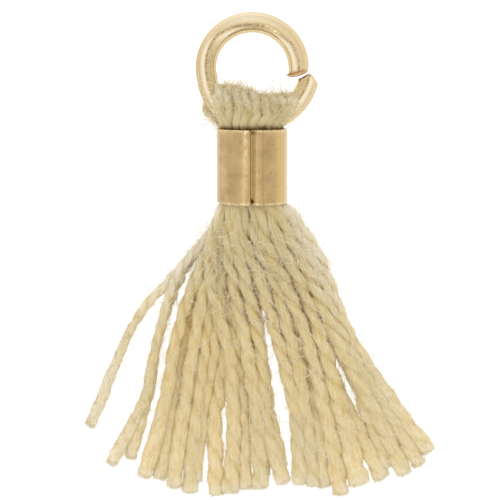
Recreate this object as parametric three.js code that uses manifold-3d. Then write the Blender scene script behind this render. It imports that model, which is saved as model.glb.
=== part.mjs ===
// A small craft tassel lying on its back. A hank of soft two-ply yarn is folded over an open jump ring,
// gripped by a tube rolled from sheet brass, and fans out below it in a skirt of cut ends.
// Millimetres. +Y runs from the cut hem to the ring, +X is right, +Z is up from the surface it lies on.
import * as THREE from "three";
import { mergeVertices } from "three/addons/utils/BufferGeometryUtils.js";
import Module from "manifold-3d";

const wasm = await Module();
wasm.setup();

// Jump ring: round wire, angles in degrees from +X, its lower end sprung outwards
const ringOutside = 6.0;
const wireDiameter = 1.0;
const upperEndAngle = -9;
const lowerEndAngle = 346;
const springFromAngle = 185;
const springOut = 0.62;
const springPower = 1.2;
const ringAboveTube = 0.53;
const wireSides = 12;
const ringSteps = 64;

// Tube: one strip of sheet, rolled with its butt seam facing up
const tubeOutside = 3.74;
const tubeWall = 0.25;
const tubeLength = 3.95;
const seamWidth = 0.14;
const notchDepth = 0.25;
const tubeFacets = 41;
const coreFacets = 24;

// Yarn: a strand's width loose and squeezed in the tube, and the gap that it keeps to the metal
const strandLoose = 0.58;
const strandGripped = 0.34;
const clearance = 0.3;

// Fall of a strand: shares of its length where it shoulders out, swells, settles level and is fully loose
const rootDepth = 0.8;
const shoulderAt = 0.1;
const shoulderShare = 0.55;
const swellReach = 0.3;
const swell = 0.4;
const settledAt = 0.75;
const settlePower = 1.5;
const fullWidthAt = 0.8;
const stackGap = 0.08;
const strandSteps = 18;

// Head: the band of folded yarns over the wire, thin at its sides and thick in the middle
const ridges = 9;
const ridgeHeight = 0.16;
const headFirstAngle = 212;
const headLastAngle = 320;
const headThin = 0.3;
const headThick = 0.75;
const legThickness = 0.3;
const legGather = 0.75;
const legDepth = 1.3;
const mouthSpread = 0.9;
const mouthInset = 0.08;
const headSteps = 24;

// Places that follow from the sizes above: the origin is under the middle of the tube's lower rim
const tubeRadius = tubeOutside / 2;
const axisHeight = tubeRadius * Math.cos(Math.PI / tubeFacets);
const coreRadius = tubeRadius - tubeWall - clearance;
const coreTop = tubeLength - 1.5 * clearance;
const coreBottom = -0.5 * clearance;
const mouthRadius = coreRadius - mouthInset;
const wireRadius = wireDiameter / 2;
const ringRadius = ringOutside / 2 - wireRadius;

const radians = THREE.MathUtils.degToRad;
const lerp = THREE.MathUtils.lerp;
const smoothstep = THREE.MathUtils.smoothstep;

// Skirt: the strands lie in four rows in the tube, from the lowest up. A row has its height above the axis,
// its width, and its strands from left to right: each one's sideways place a quarter, half and three quarters
// of the way down and at the hem, its length from the rim, and the strands that it lies on there
const skirtRows = [
  {
    height: -0.8,
    width: 1.4,
    strands: [
      { quarter: -2.5, half: -3.5, late: -4.4, hem: -4.95, drop: 15.3, lift: 0 },
      { quarter: -1.05, half: -1.5, late: -1.9, hem: -2.0, drop: 16.25, lift: 0 },
      { quarter: -0.15, half: -0.2, late: 0.27, hem: 0.5, drop: 15.35, lift: 0 },
      { quarter: 0.75, half: 1.85, late: 2.7, hem: 3.15, drop: 15.15, lift: 0 },
      { quarter: 2.1, half: 3.4, late: 5.2, hem: 6.9, drop: 15.45, lift: 0 },
    ],
  },
  {
    height: -0.27,
    width: 1.96,
    strands: [
      { quarter: -2.95, half: -4.35, late: -5.25, hem: -6.2, drop: 14.15, lift: 0 },
      { quarter: -2.0, half: -2.75, late: -3.35, hem: -3.5, drop: 16.1, lift: 0 },
      { quarter: -1.5, half: -2.05, late: -2.6, hem: -2.75, drop: 15.6, lift: 0 },
      { quarter: -0.6, half: -0.8, late: -0.45, hem: -0.4, drop: 15.85, lift: 0 },
      { quarter: 0.3, half: 0.4, late: 0.95, hem: 1.55, drop: 14.85, lift: 0 },
      { quarter: 1.3, half: 2.65, late: 3.55, hem: 4.0, drop: 15.8, lift: 0 },
      { quarter: 2.6, half: 4.05, late: 5.95, hem: 7.6, drop: 14.8, lift: 0 },
      { quarter: 3.25, half: 4.65, late: 6.8, hem: 8.9, drop: 14.5, lift: 0 },
    ],
  },
  {
    height: 0.27,
    width: 1.96,
    strands: [
      { quarter: -3.65, half: -6.25, late: -7.55, hem: -8.85, drop: 12.4, lift: 0 },
      { quarter: -2.85, half: -4.1, late: -5.0, hem: -5.95, drop: 15.2, lift: 1 },
      { quarter: -1.75, half: -1.25, late: -1.05, hem: -1.1, drop: 16.1, lift: 1 },
      { quarter: 1.05, half: 2.15, late: 2.85, hem: 3.3, drop: 15.7, lift: 1 },
      { quarter: 2.3, half: 3.9, late: 4.95, hem: 5.75, drop: 15.65, lift: 1 },
      { quarter: 3.05, half: 4.6, late: 6.65, hem: 8.35, drop: 15.05, lift: 1 },
      { quarter: 3.8, half: 5.2, late: 7.35, hem: 9.65, drop: 13.75, lift: 0 },
    ],
  },
  {
    height: 0.8,
    width: 1.5,
    strands: [
      { quarter: -3.45, half: -5.1, late: -6.1, hem: -7.5, drop: 14.55, lift: 0 },
      { quarter: -2.3, half: -3.05, late: -3.7, hem: -4.1, drop: 15.75, lift: 1 },
      { quarter: -1.1, half: -0.27, late: 0.33, hem: 0.5, drop: 15.85, lift: 1 },
      { quarter: -0.43, half: 0.33, late: 1.05, hem: 1.7, drop: 15.55, lift: 1 },
      { quarter: 0.33, half: 1.3, late: 2.1, hem: 2.55, drop: 15.6, lift: 1 },
      { quarter: 1.7, half: 3.2, late: 4.2, hem: 4.85, drop: 16.2, lift: 1 },
    ],
  },
];

// Turns a three.js geometry into a closed solid that can be joined and cut
function solidOf(geometry) {
  geometry.deleteAttribute("normal");
  geometry.deleteAttribute("uv");
  const merged = mergeVertices(geometry);
  const vertProperties = merged.attributes.position.array;
  const triVerts = Uint32Array.from(merged.index.array);
  return new wasm.Manifold(new wasm.Mesh({ numProp: 3, vertProperties, triVerts }));
}

// Turns a closed solid back into a named mesh
function meshOf(name, solid, material) {
  const { vertProperties, triVerts } = solid.getMesh();
  const geometry = new THREE.BufferGeometry();
  geometry.setAttribute("position", new THREE.BufferAttribute(vertProperties, 3));
  geometry.setIndex(new THREE.BufferAttribute(triVerts, 1));
  geometry.computeVertexNormals();
  const mesh = new THREE.Mesh(geometry, material);
  mesh.name = name;
  return mesh;
}

// A four-sided bar bent along a path: frameAt gives its middle and its two half-width vectors, t from 0 to 1
function bentBar(steps, frameAt) {
  const bar = new THREE.BoxGeometry(2, 2, 1, 1, 1, steps);
  const corners = bar.attributes.position;
  for (let i = 0; i < corners.count; i += 1) {
    const { middle, across, out } = frameAt(corners.getZ(i) + 0.5);
    middle.addScaledVector(across, corners.getX(i));
    middle.addScaledVector(out, corners.getY(i));
    corners.setXYZ(i, middle.x, middle.y, middle.z);
  }
  return solidOf(bar);
}

// The ring's wire runs from its upper end over the top and the left, and springs out towards its lower end
function wireRadiusAt(degrees) {
  const sprung = Math.max(0, (degrees - springFromAngle) / (lowerEndAngle - springFromAngle));
  return ringRadius + springOut * sprung ** springPower;
}

class RingWire extends THREE.Curve {
  getPoint(t, target = new THREE.Vector3()) {
    const degrees = lerp(upperEndAngle, lowerEndAngle, t);
    const radius = wireRadiusAt(degrees);
    return target.set(radius * Math.cos(radians(degrees)), radius * Math.sin(radians(degrees)), 0);
  }
}

// The wire's lowest stretch is held at the tube's axis, and the ring leans from there to the surface
const ringReach = wireRadiusAt(270);
const ringLean = Math.asin((axisHeight - wireRadius) / (ringReach + ringRadius));
const ringMiddle = new THREE.Vector3(
  0,
  tubeLength + ringAboveTube + ringReach * Math.cos(ringLean),
  wireRadius + ringRadius * Math.sin(ringLean),
);
const ringTurn = new THREE.Euler(-ringLean, 0, 0);

function makeJumpRing(material) {
  const section = new THREE.Shape();
  section.absarc(0, 0, wireRadius, 0, 2 * Math.PI);
  const geometry = new THREE.ExtrudeGeometry(section, {
    steps: ringSteps,
    curveSegments: wireSides / 2,
    extrudePath: new RingWire(),
  });
  const ring = meshOf("jump_ring", solidOf(geometry), material);
  ring.position.copy(ringMiddle);
  ring.rotation.copy(ringTurn);
  return ring;
}

// One strip of sheet, rolled until its edges meet at the top, with a small notch at each end of the seam
function makeCrimpTube(material) {
  const seamHalf = seamWidth / tubeOutside;
  const outline = [];
  for (let k = 0; k <= tubeFacets; k += 1) {
    const angle = lerp(Math.PI / 2 + seamHalf, 2.5 * Math.PI - seamHalf, k / tubeFacets);
    outline.push(new THREE.Vector2(Math.cos(angle), Math.sin(angle)));
  }
  const outer = outline.map((point) => point.clone().multiplyScalar(tubeRadius));
  const inner = outline.map((point) => point.clone().multiplyScalar(tubeRadius - tubeWall)).reverse();
  const strip = new THREE.ExtrudeGeometry(new THREE.Shape([...outer, ...inner]), {
    depth: tubeLength,
    bevelEnabled: false,
  });
  strip.rotateX(Math.PI / 2);
  strip.translate(0, tubeLength, axisHeight);
  let tube = solidOf(strip);
  for (const end of [0, tubeLength]) {
    const notch = new THREE.CylinderGeometry(notchDepth, notchDepth, tubeRadius, 4);
    notch.rotateX(Math.PI / 2);
    notch.translate(0, end, axisHeight + tubeRadius);
    tube = tube.subtract(solidOf(notch));
  }
  return meshOf("crimp_tube", tube, material);
}

// A strand leaves its place in the tube, swells out of the grip, and settles level on the surface or others
function makeStrand(root, rowHeight, { quarter, half, late, hem, drop, lift }) {
  const restHeight = strandLoose / 2 + lift * (strandLoose + stackGap);
  const stations = [
    [root, -rootDepth],
    [root, 0],
    [lerp(root, quarter, shoulderShare), shoulderAt * drop],
    [quarter, 0.25 * drop],
    [half, 0.5 * drop],
    [late, 0.75 * drop],
    [hem, drop],
  ];
  const plan = new THREE.CatmullRomCurve3(stations.map(([x, down]) => new THREE.Vector3(x, -down, 0)));
  return bentBar(strandSteps, (t) => {
    const middle = plan.getPoint(t);
    const along = plan.getTangent(t);
    const fallen = Math.max(0, -middle.y / drop);
    const swollen = 1 + swell * Math.sin(Math.PI * Math.min(1, fallen / swellReach));
    const settled = 1 - Math.max(0, 1 - fallen / settledAt) ** settlePower;
    const halfWidth = lerp(strandGripped, strandLoose, smoothstep(fallen, 0, fullWidthAt)) / 2;
    const halfHeight = lerp(strandGripped, strandLoose, smoothstep(fallen, 0, settledAt)) / 2;
    middle.z = lerp(axisHeight + rowHeight * swollen, restHeight, settled);
    const across = new THREE.Vector3(-along.y, along.x, 0).normalize().multiplyScalar(halfWidth);
    const out = new THREE.Vector3(0, 0, halfHeight);
    return { middle, across, out };
  });
}

function makeSkirt() {
  return skirtRows.flatMap(({ height, width, strands }) =>
    strands.map((strand, k) => {
      const root = width * (k / (strands.length - 1) - 0.5);
      return makeStrand(root, height, strand);
    }),
  );
}

// The folded yarns lie side by side as one ridged band: up the front of the tube, over the wire inside the
// ring, and down the back. The band is thickest where the middle yarns pile up inside the ring
function headThickness(share, t) {
  const overWire = lerp(headThin, headThick, Math.sin(Math.PI * share));
  return lerp(legThickness, overWire, Math.sin(Math.PI * t) ** 2);
}

// The path of the yarn at one share of the way across the band
function headRoute(share) {
  const degrees = lerp(headFirstAngle, headLastAngle, share);
  const angle = radians(degrees);
  const spoke = new THREE.Vector3(Math.cos(angle), Math.sin(angle), 0).applyEuler(ringTurn);
  const alongWire = new THREE.Vector3(-Math.sin(angle), Math.cos(angle), 0).applyEuler(ringTurn);
  const front = new THREE.Vector3(0, 0, 1).projectOnPlane(alongWire).normalize();
  const outward = new THREE.Vector3().crossVectors(alongWire, front);
  const wire = ringMiddle.clone().addScaledVector(spoke, wireRadiusAt(degrees));
  const bend = [0.25, 0.375, 0.5, 0.625, 0.75].map((t) => {
    const reach = wireRadius + clearance + headThickness(share, t) / 2;
    const turn = 2 * Math.PI * (t - 0.25);
    return wire
      .clone()
      .addScaledVector(front, reach * Math.cos(turn))
      .addScaledVector(outward, -reach * Math.sin(turn));
  });
  const mouth = lerp(-mouthSpread, mouthSpread, share);
  const mouthHeight = Math.sqrt(mouthRadius ** 2 - mouth ** 2) - legThickness / 2;
  const legHeight = mouthHeight * legGather;
  const path = new THREE.CatmullRomCurve3([
    new THREE.Vector3(mouth, tubeLength - legDepth, axisHeight + legHeight),
    new THREE.Vector3(mouth, tubeLength, axisHeight + mouthHeight),
    ...bend,
    new THREE.Vector3(mouth, tubeLength, axisHeight - mouthHeight),
    new THREE.Vector3(mouth, tubeLength - legDepth, axisHeight - legHeight),
  ]);
  return { path, alongWire };
}

function makeHead() {
  const band = new THREE.BoxGeometry(1, 1, 1, 2 * ridges, 1, headSteps);
  const corners = band.attributes.position;
  for (let i = 0; i < corners.count; i += 1) {
    const share = corners.getX(i) + 0.5;
    const t = corners.getZ(i) + 0.5;
    const { path, alongWire } = headRoute(share);
    const inward = new THREE.Vector3().crossVectors(path.getTangent(t), alongWire).normalize();
    const ridge = corners.getY(i) < 0 ? ridgeHeight * Math.sin(Math.PI * ridges * share) ** 2 : 0;
    const offset = corners.getY(i) * headThickness(share, t) - ridge * Math.sin(Math.PI * t) ** 2;
    const corner = path.getPoint(t).addScaledVector(inward, offset);
    corners.setXYZ(i, corner.x, corner.y, corner.z);
  }
  return solidOf(band);
}

// Inside the tube the squeezed yarns are one core, which the folded yarns and the strands grow from
function makeYarn(material) {
  const profile = [
    new THREE.Vector2(0, coreBottom),
    new THREE.Vector2(coreRadius, coreBottom),
    new THREE.Vector2(coreRadius, coreTop),
    new THREE.Vector2(0, coreTop),
  ];
  const core = new THREE.LatheGeometry(profile, coreFacets);
  core.translate(0, 0, axisHeight);
  let yarn = solidOf(core).add(makeHead());
  for (const strand of makeSkirt()) {
    yarn = yarn.add(strand);
  }
  return meshOf("yarn", yarn, material);
}

const ringMetal = new THREE.MeshStandardMaterial({ color: 0xdcc294, roughness: 0.2, metalness: 1 });
const tubeMetal = new THREE.MeshStandardMaterial({ color: 0xcda978, roughness: 0.25, metalness: 1 });
const cottonYarn = new THREE.MeshStandardMaterial({ color: 0xd0b888, roughness: 0.95, metalness: 0 });

// The whole tassel, centred on its own bounding box with its lowest faces on the surface
const tassel = new THREE.Group();
tassel.add(makeJumpRing(ringMetal), makeCrimpTube(tubeMetal), makeYarn(cottonYarn));
const bounds = new THREE.Box3().setFromObject(tassel, true);
const middle = bounds.getCenter(new THREE.Vector3());
tassel.position.set(-middle.x, -middle.y, -bounds.min.z);

export default tassel;
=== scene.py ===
import bpy
import numpy as np
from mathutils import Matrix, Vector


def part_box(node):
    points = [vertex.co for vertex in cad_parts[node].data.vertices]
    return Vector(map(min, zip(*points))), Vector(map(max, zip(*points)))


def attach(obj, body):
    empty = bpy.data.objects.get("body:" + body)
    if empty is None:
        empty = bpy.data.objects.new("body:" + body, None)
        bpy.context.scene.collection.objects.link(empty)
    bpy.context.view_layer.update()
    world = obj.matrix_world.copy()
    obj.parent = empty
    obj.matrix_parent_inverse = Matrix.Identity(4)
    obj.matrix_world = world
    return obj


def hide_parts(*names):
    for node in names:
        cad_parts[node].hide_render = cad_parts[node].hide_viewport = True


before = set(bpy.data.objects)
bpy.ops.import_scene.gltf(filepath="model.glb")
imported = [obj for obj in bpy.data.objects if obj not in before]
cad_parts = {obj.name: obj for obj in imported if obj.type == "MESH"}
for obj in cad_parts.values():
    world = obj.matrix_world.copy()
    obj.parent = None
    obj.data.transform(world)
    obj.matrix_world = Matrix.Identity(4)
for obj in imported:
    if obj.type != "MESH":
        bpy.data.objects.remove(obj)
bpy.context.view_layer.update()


# Crimp tube. One strip of thin brass sheet, plated gold and rolled round the hank until its edges meet in a butt
# seam on the front. The edges dip into the seam, and the strip's rounded corners leave a notch at each end of it.
MM = 0.001
tube_low, tube_high = (np.array(corner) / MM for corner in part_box("crimp_tube"))
tube_radius = (tube_high[0] - tube_low[0]) / 2
tube_wall = 0.25
axis_x = (tube_low[0] + tube_high[0]) / 2
axis_z = tube_radius
rim_low = tube_low[1]
rim_high = tube_high[1]
# Rim and corners: the rounded rim's share of the half length, how squarely it is rounded, and the strip's corners
rim_round = 0.045
rim_squareness = 0.6
corner_radius = 0.1
# Seam: where it is, its width, and how deep and wide the edges dip into it
seam_middle = -0.1
seam_width = 0.004
right_dip, right_dip_width = 0.17, 0.36
left_dip, left_dip_width = 0.14, 0.14
# Wear and painted light: each mark's middle and width, round the tube from the seam's right edge, or for the lip from
# its left edge, and for the hole and the slot also along the tube from its rim, and how strong the mark is. The rims
# get rubbed plate with a painted highlight, the lip and the sides a painted highlight, the groove and the crease
# painted shade, and the hole and the slot a dark painted shade.
seam_lip = (0.21, 0.11)
lip_highlight, lip_highlight_growth = 0.45, 0.25
groove = (0.1, 0.22)
crease, crease_shade = (0.66, 0.06), 0.45
hole_across, hole_from_rim, hole_dark = (0.09, 0.1), (0.22, 0.13), 1.8
slot_across, slot_from_rim, slot_dark = (0.1, 0.24), (0.13, 0.06), 1.2
rim_rub_and_highlight = 0.09
# Painted highlights in bands: where the right flank's painted reflection starts, is full, fades and ends, and the same
# in degrees for the sides' painted highlight
flank_highlight_band = (0.75, 1.9, 2.4, 3.0)
side_highlight_band, side_highlight = (60, 82, 98, 120), 0.5
# Steps round the tube, and the share of them that crowds towards the seam
tube_steps = 181
seam_crowding = 0.6


def linear(colour):
    """An sRGB hex colour as linear red, green, blue and alpha: each channel is undone from its display curve."""
    channels = np.array([int(colour[k : k + 2], 16) for k in (1, 3, 5)]) / 255
    channels = np.where(channels <= 0.04045, channels / 12.92, ((channels + 0.055) / 1.055) ** 2.4)
    return (*channels.tolist(), 1.0)


def add_node(owner, kind, values={}, links={}, **settings):
    """Adds a node with its settings, its sockets' values and the links from other nodes' sockets to its own."""
    node = owner.node_tree.nodes.new(kind)
    for name, value in settings.items():
        setattr(node, name, value)
    for socket, value in values.items():
        node.inputs[socket].default_value = value
    for socket, source in links.items():
        owner.node_tree.links.new(source, node.inputs[socket])
    return node


def new_material(name):
    """A node material with no nodes yet."""
    material = bpy.data.materials.new(name)
    material.use_nodes = True
    material.node_tree.nodes.clear()
    return material


def tube_faces(tubes, rings, sides):
    """Corner numbers for tubes that are stored one after another as rings of points: a quad between each two
    neighbours on each two neighbouring rings, and one face over each end."""
    ring, side = np.meshgrid(np.arange(rings - 1), np.arange(sides), indexing="ij")
    after = (side + 1) % sides
    here, next_ring = ring * sides, (ring + 1) * sides
    quads = np.stack([here + side, here + after, next_ring + after, next_ring + side], -1)
    ends = np.stack([np.arange(sides)[::-1], (rings - 1) * sides + np.arange(sides)])
    starts = np.arange(tubes)[:, None, None] * rings * sides
    quads = (quads.reshape(1, -1, 4) + starts).reshape(-1, 4)
    ends = (ends[None] + starts).reshape(-1, sides)
    return quads.tolist() + ends.tolist()


def put_piece(name, points, faces, material, slot, replaces, **attributes):
    """Puts points in millimetres and their faces into a smooth mesh at the origin, with named point attributes,
    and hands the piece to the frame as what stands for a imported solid."""
    mesh = bpy.data.meshes.new(name)
    mesh.from_pydata((points.reshape(-1, 3) * MM).tolist(), [], faces)
    mesh.shade_smooth()
    for key, values in attributes.items():
        kind, field = ("FLOAT_VECTOR", "vector") if values.shape[-1] == 3 else ("FLOAT", "value")
        mesh.attributes.new(key, kind, "POINT").data.foreach_set(field, values.ravel().astype(np.float32))
    mesh.materials.append(material)
    piece = bpy.data.objects.new(name, mesh)
    bpy.context.scene.collection.objects.link(piece)
    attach(piece, "root")
    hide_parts(replaces)


def smooth_step(x, low, high):
    """0 below low, 1 above high, and the smooth cubic 3u2 - 2u3 of the share between."""
    u = np.clip((x - low) / (high - low), 0, 1)
    return u * u * (3 - 2 * u)


def band(x, rise_from, rise_to, fall_from, fall_to):
    """1 inside a band and 0 outside it, with a smooth step up at one side and a smooth step down at the other."""
    return smooth_step(x, rise_from, rise_to) - smooth_step(x, fall_from, fall_to)


def bell(x, middle, width):
    """A bell curve: e to the minus square of the distance from the middle, counted in widths."""
    return np.exp(-(((x - middle) / width) ** 2))


def strip_edge(along_outside, along_inside, round_rim):
    """The strip's lengthwise section, once round it: the outside as a straight run of points from -1 to 1 of the half
    length, a rim rounded as a squarish half circle, the inside, and the other rim. The second row is the lift, from
    1 on the outside to -1 on the inside."""
    out = np.linspace(rim_round - 1, 1 - rim_round, along_outside)
    back = np.linspace(1 - rim_round, rim_round - 1, along_inside)
    angle = np.linspace(0, np.pi, round_rim + 2)[1:-1]
    over = rim_round * np.sin(angle) ** rim_squareness
    fall = np.sign(np.cos(angle)) * np.abs(np.cos(angle)) ** rim_squareness
    run = np.concatenate([out, 1 - rim_round + over, back, rim_round - 1 - over])
    return run, np.concatenate([out * 0 + 1, fall, back * 0 - 1, -fall])


def rolled_sheet(turn, run, lift):
    """The strip as a grid of (turn, edge): turn carries its lengthwise section round the tube's axis from the right
    side of the seam to the left. Near the seam the section sinks by a bell curve of the distance to it, deeper on the
    right, and is shortened by the rounded corner's quarter circle. The wear and painted light are a grid for each kind,
    made of bells and bands of the distances to the seam and the rims. The plate is rubbed and has a painted highlight
    on the rims. It has a painted highlight on the left lip of the seam, at the tube's sides and on the right flank,
    painted shade in the groove and a crease, and dark painted shade for a hole at the seam's lower end and a slot at
    its upper end."""
    right = tube_radius * (turn - turn[0])
    left = tube_radius * (turn[-1] - turn)
    dip = right_dip * bell(right, 0, right_dip_width) + left_dip * bell(left, 0, left_dip_width)
    rounding = np.maximum(0, corner_radius - np.minimum(left, right))
    corner = corner_radius - np.sqrt(corner_radius**2 - rounding**2)
    half_length = ((rim_high - rim_low) / 2 - corner)[:, None]
    y = (rim_low + rim_high) / 2 + half_length * run
    r = (tube_radius - tube_wall / 2 - dip)[:, None] + tube_wall / 2 * lift
    x = axis_x + r * np.sin(turn)[:, None]
    z = axis_z + r * np.cos(turn)[:, None]
    from_rim = half_length * (1 - np.abs(run))
    from_seam = np.pi - np.abs(turn - np.pi - seam_middle / tube_radius)
    lip = bell(left, *seam_lip)[:, None] * (lip_highlight + lip_highlight_growth * run)
    sides = side_highlight * band(from_seam, *np.radians(side_highlight_band))
    painted_dark = bell(right, *groove) + crease_shade * bell(right, *crease)
    # Dark painted shade for a hole at the seam's lower end and a slot at its upper end
    hole = bell(right, *hole_across)[:, None] * bell(from_rim, *hole_from_rim) * (run < 0)
    slot = bell(right, *slot_across)[:, None] * bell(from_rim, *slot_from_rim) * (run > 0)
    wear_and_painted_light = {
        "rub_and_highlight": np.clip(bell(from_rim, 0, rim_rub_and_highlight) + lip + sides[:, None], 0, 1),
        "painted_dark": painted_dark[:, None] * np.ones_like(from_rim),
        "painted_hole_shade": np.clip(hole_dark * hole + slot_dark * slot, 0, 1),
        "painted_flank_highlight": band(right, *flank_highlight_band)[:, None] * np.ones_like(from_rim),
    }
    return np.stack([x, y, z], -1), {kind: grid[..., None] for kind, grid in wear_and_painted_light.items()}


even = np.linspace(-1, 1, tube_steps)
crowded = seam_crowding * np.sin(np.pi / 2 * even) + (1 - seam_crowding) * even
turn = np.pi + (np.pi - seam_width / 2 / tube_radius) * crowded + seam_middle / tube_radius
run, lift = strip_edge(along_outside=41, along_inside=9, round_rim=7)
tube_points, tube_wear_and_painted_light = rolled_sheet(turn, run, lift)

# Gold-plated brass sheet, rolled and barrelled: a warm satin mirror in uneven patches, with rolling lines along the
# tube and fine specks. Over that come painted light and shade: plate rubbed and painted bright on the rims, painted
# highlights on the seam's lip, the tube's sides and the right flank, painted shade in the seam's groove and a crease,
# and dark painted shade for a hole and a slot at the seam's ends. Rolling lines and specks are drawn coarser than real
# ones, so that they show.
SHARE, COLOUR_0, COLOUR_1, MIXED = 0, 6, 7, 2  # a colour mix's sockets: its share, its two colours and its result
sheet_gold = new_material("gold_plated_brass_sheet")
place = add_node(sheet_gold, "ShaderNodeTexCoord").outputs["Object"]
rub_and_highlight, painted_dark, painted_hole_shade, painted_flank_highlight = (
    add_node(sheet_gold, "ShaderNodeAttribute", attribute_name=kind).outputs["Fac"] for kind in tube_wear_and_painted_light
)
lines = add_node(
    sheet_gold, "ShaderNodeMapping", {"Scale": (1 / (0.12 * MM), 1 / (4 * MM), 1 / (0.12 * MM))}, {"Vector": place}
)
rolling = add_node(sheet_gold, "ShaderNodeTexNoise", {"Scale": 1, "Detail": 2}, {"Vector": lines.outputs["Vector"]})
patches = add_node(sheet_gold, "ShaderNodeTexNoise", {"Scale": 1 / (0.8 * MM), "Detail": 3}, {"Vector": place})
specks = add_node(sheet_gold, "ShaderNodeTexNoise", {"Scale": 1 / (0.13 * MM), "Detail": 1}, {"Vector": place})
seam_specks = add_node(
    sheet_gold, "ShaderNodeMath", {1: 0.15}, {0: painted_dark, 2: specks.outputs["Fac"]}, operation="MULTIPLY_ADD"
)
speckled = add_node(
    sheet_gold,
    "ShaderNodeMapRange",
    {"From Min": 0.69, "From Max": 0.77, "To Max": 0.85},
    {"Value": seam_specks.outputs["Value"]},
)
scuffs = add_node(
    sheet_gold,
    "ShaderNodeMapRange",
    {"From Min": 0.38, "From Max": 0.64, "To Min": 0.2},
    {"Value": specks.outputs["Fac"]},
)
# Rubbed plate and painted highlights on the rims, the seam's lip and the tube's sides, broken up by scuffs
uneven_rub_and_highlight = add_node(
    sheet_gold, "ShaderNodeMath", {}, {0: rub_and_highlight, 1: scuffs.outputs["Result"]}, operation="MULTIPLY"
)
spread = add_node(
    sheet_gold, "ShaderNodeMapRange", {"From Min": 0.35, "From Max": 0.65}, {"Value": patches.outputs["Fac"]}
)
tone = add_node(
    sheet_gold,
    "ShaderNodeMix",
    {COLOUR_0: linear("#b09467"), COLOUR_1: linear("#c3a778")},
    {SHARE: spread.outputs["Result"]},
    data_type="RGBA",
)
# Laid over that tone in turn: the painted highlight on the right flank, specks, painted shade in the groove and the
# crease, rubbed plate with painted highlights, and the dark painted shade of the hole and the slot
sheet_layers = [
    (painted_flank_highlight, "#c7aa77"),
    (speckled.outputs["Result"], "#7d5c30"),
    (painted_dark, "#9c7f50"),
    (uneven_rub_and_highlight.outputs["Value"], "#f8e3b6"),
    (painted_hole_shade, "#3f2b12"),
]
for share, colour in sheet_layers:
    tone = add_node(
        sheet_gold,
        "ShaderNodeMix",
        {COLOUR_1: linear(colour)},
        {SHARE: share, COLOUR_0: tone.outputs[MIXED]},
        data_type="RGBA",
    )
dulled = add_node(
    sheet_gold, "ShaderNodeMapRange", {"To Min": 0.18, "To Max": 0.34}, {"Value": patches.outputs["Fac"]}
)
uneven = add_node(
    sheet_gold, "ShaderNodeBump", {"Strength": 0.15, "Distance": 0.01 * MM}, {"Height": rolling.outputs["Fac"]}
)
sheet_shader = add_node(
    sheet_gold,
    "ShaderNodeBsdfPrincipled",
    {"Metallic": 1.0},
    {"Base Color": tone.outputs[MIXED], "Roughness": dulled.outputs["Result"], "Normal": uneven.outputs["Normal"]},
)
add_node(sheet_gold, "ShaderNodeOutputMaterial", {}, {"Surface": sheet_shader.outputs["BSDF"]})

# The strip is stored the other way round than a yarn or a wire is, so its faces are turned to look outwards.
sheet_faces = [face[::-1] for face in tube_faces(1, len(turn), len(run))]
put_piece("crimp_tube_rolled", tube_points, sheet_faces, sheet_gold, "tube_metal", "crimp_tube", **tube_wear_and_painted_light)


# Jump ring. One turn of round brass wire, plated pale gold, wound on a mandrel and snipped off the coil. It was
# opened to take the yarn, so its lower end springs out past its upper end. The snips left the upper end slanted
# and the lower end pinched to a chisel, with bare brass showing on both.
wire_radius = 0.54
ring_radius = 2.46
spring_out = 0.6
ring_above_tube = 0.36
ring_aside = 0.01
# Angles round the ring, in degrees from +X
upper_end, lower_end = -8.7, 351.4
spring_from, spring_end = 195, 346
pinch_from = 345.5
slant, slant_reach, slant_power = 4.4, 14, 1.5
burr_length = 3
bare_reach = 4
rounded_reach = 0.9
# Shares of the wire's half width, and the burr's reach and sharpness
pinch_to = 0.3
upper_pinch = 0.12
end_rounding = 0.14
burr_reach, burr_sharpness = 0.16, 6
wire_sides = 36
# Where the painted dark reflection line lies, as degrees round the ring and a share of the half width, outwards being
# more than 0
line_at = [
    (-9, 0), (28, -0.16), (45, -0.42), (90, -0.52), (115, -0.35),
    (140, -0.02), (180, 0), (215, 0.05), (250, 0.1), (352, 0),
]
line_width, line_swell, line_widest = 0.05, 0.05, (85, 35)
# Painted reflections: the strength of the painted highlight beside the line and at the top, and of the painted dark
# bands down the left and at the lower end
gleam_strength, top_strength = 0.8, 0.45
left_painted_dark_outside, left_painted_dark_inside, end_painted_dark_inside = 0.3, 0.35, 0.25
# Stretches of the ring in degrees, and bands across the wire in millimetres from the line
left_stretch = (130, 165, 240, 300)
end_stretch = (290, 320)
top_stretch = (95, 38)
inner_gleam, outer_gleam = (-0.22, 0.12), (0.16, 0.12)
painted_dark_inside, painted_dark_outside = (0, 0.08, 0.35, 0.5), (0.24, 0.42)
bright_outside = (0.05, 0.3)


def wire_radius_at(degrees):
    """The radius of the wire's middle: even round the top, then growing to its full spring along half a parabola."""
    sprung = np.clip((degrees - spring_from) / (spring_end - spring_from), 0, 1)
    return ring_radius + spring_out * (1 - (1 - sprung) ** 2)


ring_reach = wire_radius_at(270)
ring_lean = np.arcsin((axis_z - wire_radius) / (ring_reach + ring_radius))
ring_middle = np.array(
    [
        axis_x + ring_aside,
        rim_high + ring_above_tube + ring_reach * np.cos(ring_lean),
        wire_radius + ring_radius * np.sin(ring_lean),
    ]
)


def lean(points):
    """Points in the ring's own plane, turned about X by the ring's lean and moved to the ring's middle."""
    x, y, z = np.moveaxis(points, -1, 0)
    c, s = np.cos(ring_lean), np.sin(ring_lean)
    return ring_middle + np.stack([x, y * c + z * s, z * c - y * s], -1)


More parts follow.
